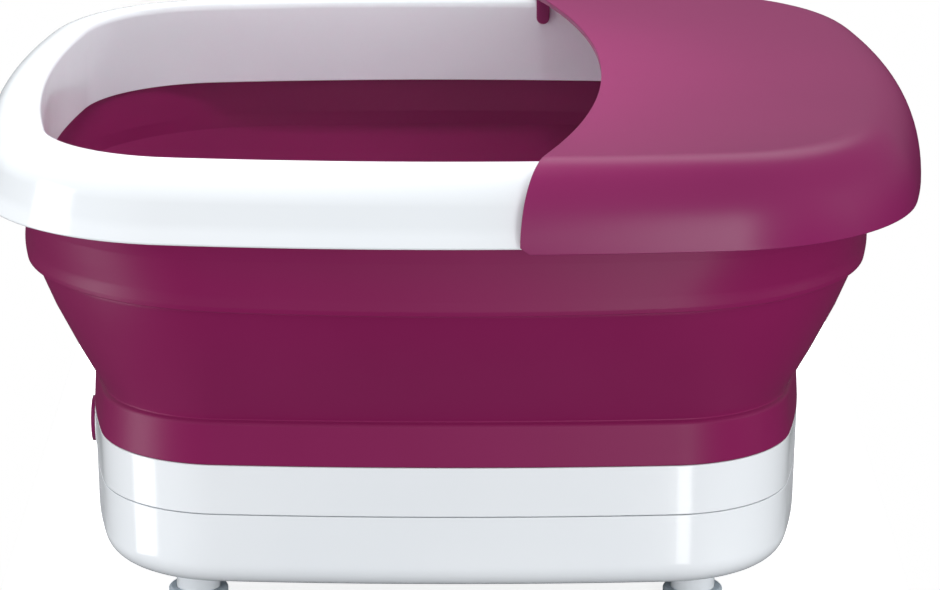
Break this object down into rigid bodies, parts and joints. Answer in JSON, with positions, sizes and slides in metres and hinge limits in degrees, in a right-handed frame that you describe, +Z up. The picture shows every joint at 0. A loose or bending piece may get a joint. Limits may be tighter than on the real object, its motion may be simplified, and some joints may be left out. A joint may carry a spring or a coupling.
{
  "type": "foot spa basin",
  "caption": "Oval foot spa basin with a soft side wall that folds down, a lift-off splash guard over one end, a heated massage base with a push button, and padded feet.",
  "frame": {"origin": "on the floor, under the middle of the whole outline with the splash guard in place", "axes": "+X towards the splash guard end, along the length; -Y towards the front; +Z up"},
  "size_m": [0.4326, 0.3938, 0.226],
  "materials": {
    "white_gloss": "gloss",
    "berry_silicone": "satin",
    "berry_gloss": "satin gloss",
    "light_berry": "satin",
    "pink_plate": "satin",
    "grey_rubber": "matte",
    "dark_rubber": "matte",
    "clear_hose": "satin",
    "white_plastic": "matte",
    "black_plastic": "matte",
    "board_green": "satin",
    "steel": "brushed",
    "aluminium": "brushed",
    "bronze": "satin",
    "copper": "satin",
    "magnet": "matte"
  },
  "bodies": {
    "base": {"tub_base": "white_gloss", "bottom_housing": "white_gloss", "base_seal": "dark_rubber", "silicone_wall": "berry_silicone", "cuff_ring": "light_berry", "housing_screws": "steel", "inner_screws": "steel", "massage_plate_front": "pink_plate", "massage_plate_back": "pink_plate", "foot_stem_fl": "white_gloss", "foot_stem_fr": "white_gloss", "foot_stem_bl": "white_gloss", "foot_stem_br": "white_gloss", "foot_pad_fl": "grey_rubber", "foot_pad_fr": "grey_rubber", "foot_pad_bl": "grey_rubber", "foot_pad_br": "grey_rubber", "button_bezel": "white_gloss", "button_seal": "dark_rubber", "push_switch": "black_plastic", "control_board": "board_green", "board_parts": "black_plastic", "heater_plate": "aluminium", "heater_foil": "copper", "thermostat": "black_plastic", "thermal_fuse": "white_plastic", "motor_can": "steel", "motor_end_cap": "white_plastic", "motor_bushes": "bronze", "motor_magnets": "magnet", "motor_sleeve": "dark_rubber", "motor_strap": "steel", "pump_case": "black_plastic", "pump_cover": "black_plastic", "pump_grommets": "dark_rubber", "pump_core": "steel", "pump_coil": "copper", "pump_pin": "steel", "pump_diaphragm": "dark_rubber", "pump_valve_box": "white_plastic", "check_valve": "white_plastic", "air_hose_pump": "clear_hose", "air_hose_floor": "clear_hose", "air_tee": "white_plastic", "lead_gland": "dark_rubber", "lead_clamp": "black_plastic", "terminal_block": "white_plastic"},
    "rim_frame": {"rim_shell": "white_gloss", "rim_clamp_ring": "white_plastic", "rim_screws": "steel"},
    "guard": {"splash_guard": "berry_gloss"},
    "button": {"button_cap": "berry_gloss", "switch_plunger": "white_plastic"},
    "motor_rotor": {"motor_shaft": "steel", "rotor_core": "copper", "vibration_weight": "steel"},
    "pump_lever": {"pump_arm": "steel", "pump_magnet": "magnet"}
  },
  "joints": [
    {"name": "tub_fold", "type": "slide", "parent": "base", "child": "rim_frame", "axis": [0, 0, 1], "range_m": [-0.1, 0], "deforming": ["silicone_wall"]},
    {"name": "splash_guard_lift", "type": "slide", "parent": "rim_frame", "child": "guard", "axis": [0, 0, 1], "range_m": [0, 0.15]},
    {"name": "button_press", "type": "slide", "parent": "base", "child": "button", "axis": [1, 0, 0], "range_m": [0, 0.0018], "stiffness_N_per_m": 800},
    {"name": "motor_spin", "type": "hinge", "parent": "base", "child": "motor_rotor", "pos_m": [-0.03375, -0.062, 0.0435], "axis": [1, 0, 0], "continuous": true},
    {"name": "pump_swing", "type": "hinge", "parent": "base", "child": "pump_lever", "pos_m": [-0.02775, 0.068, 0.0448], "axis": [0, 1, 0], "range_deg": [-1.5, 1.5], "stiffness_Nm_per_rad": 6, "deforming": ["pump_diaphragm"]}
  ]
}
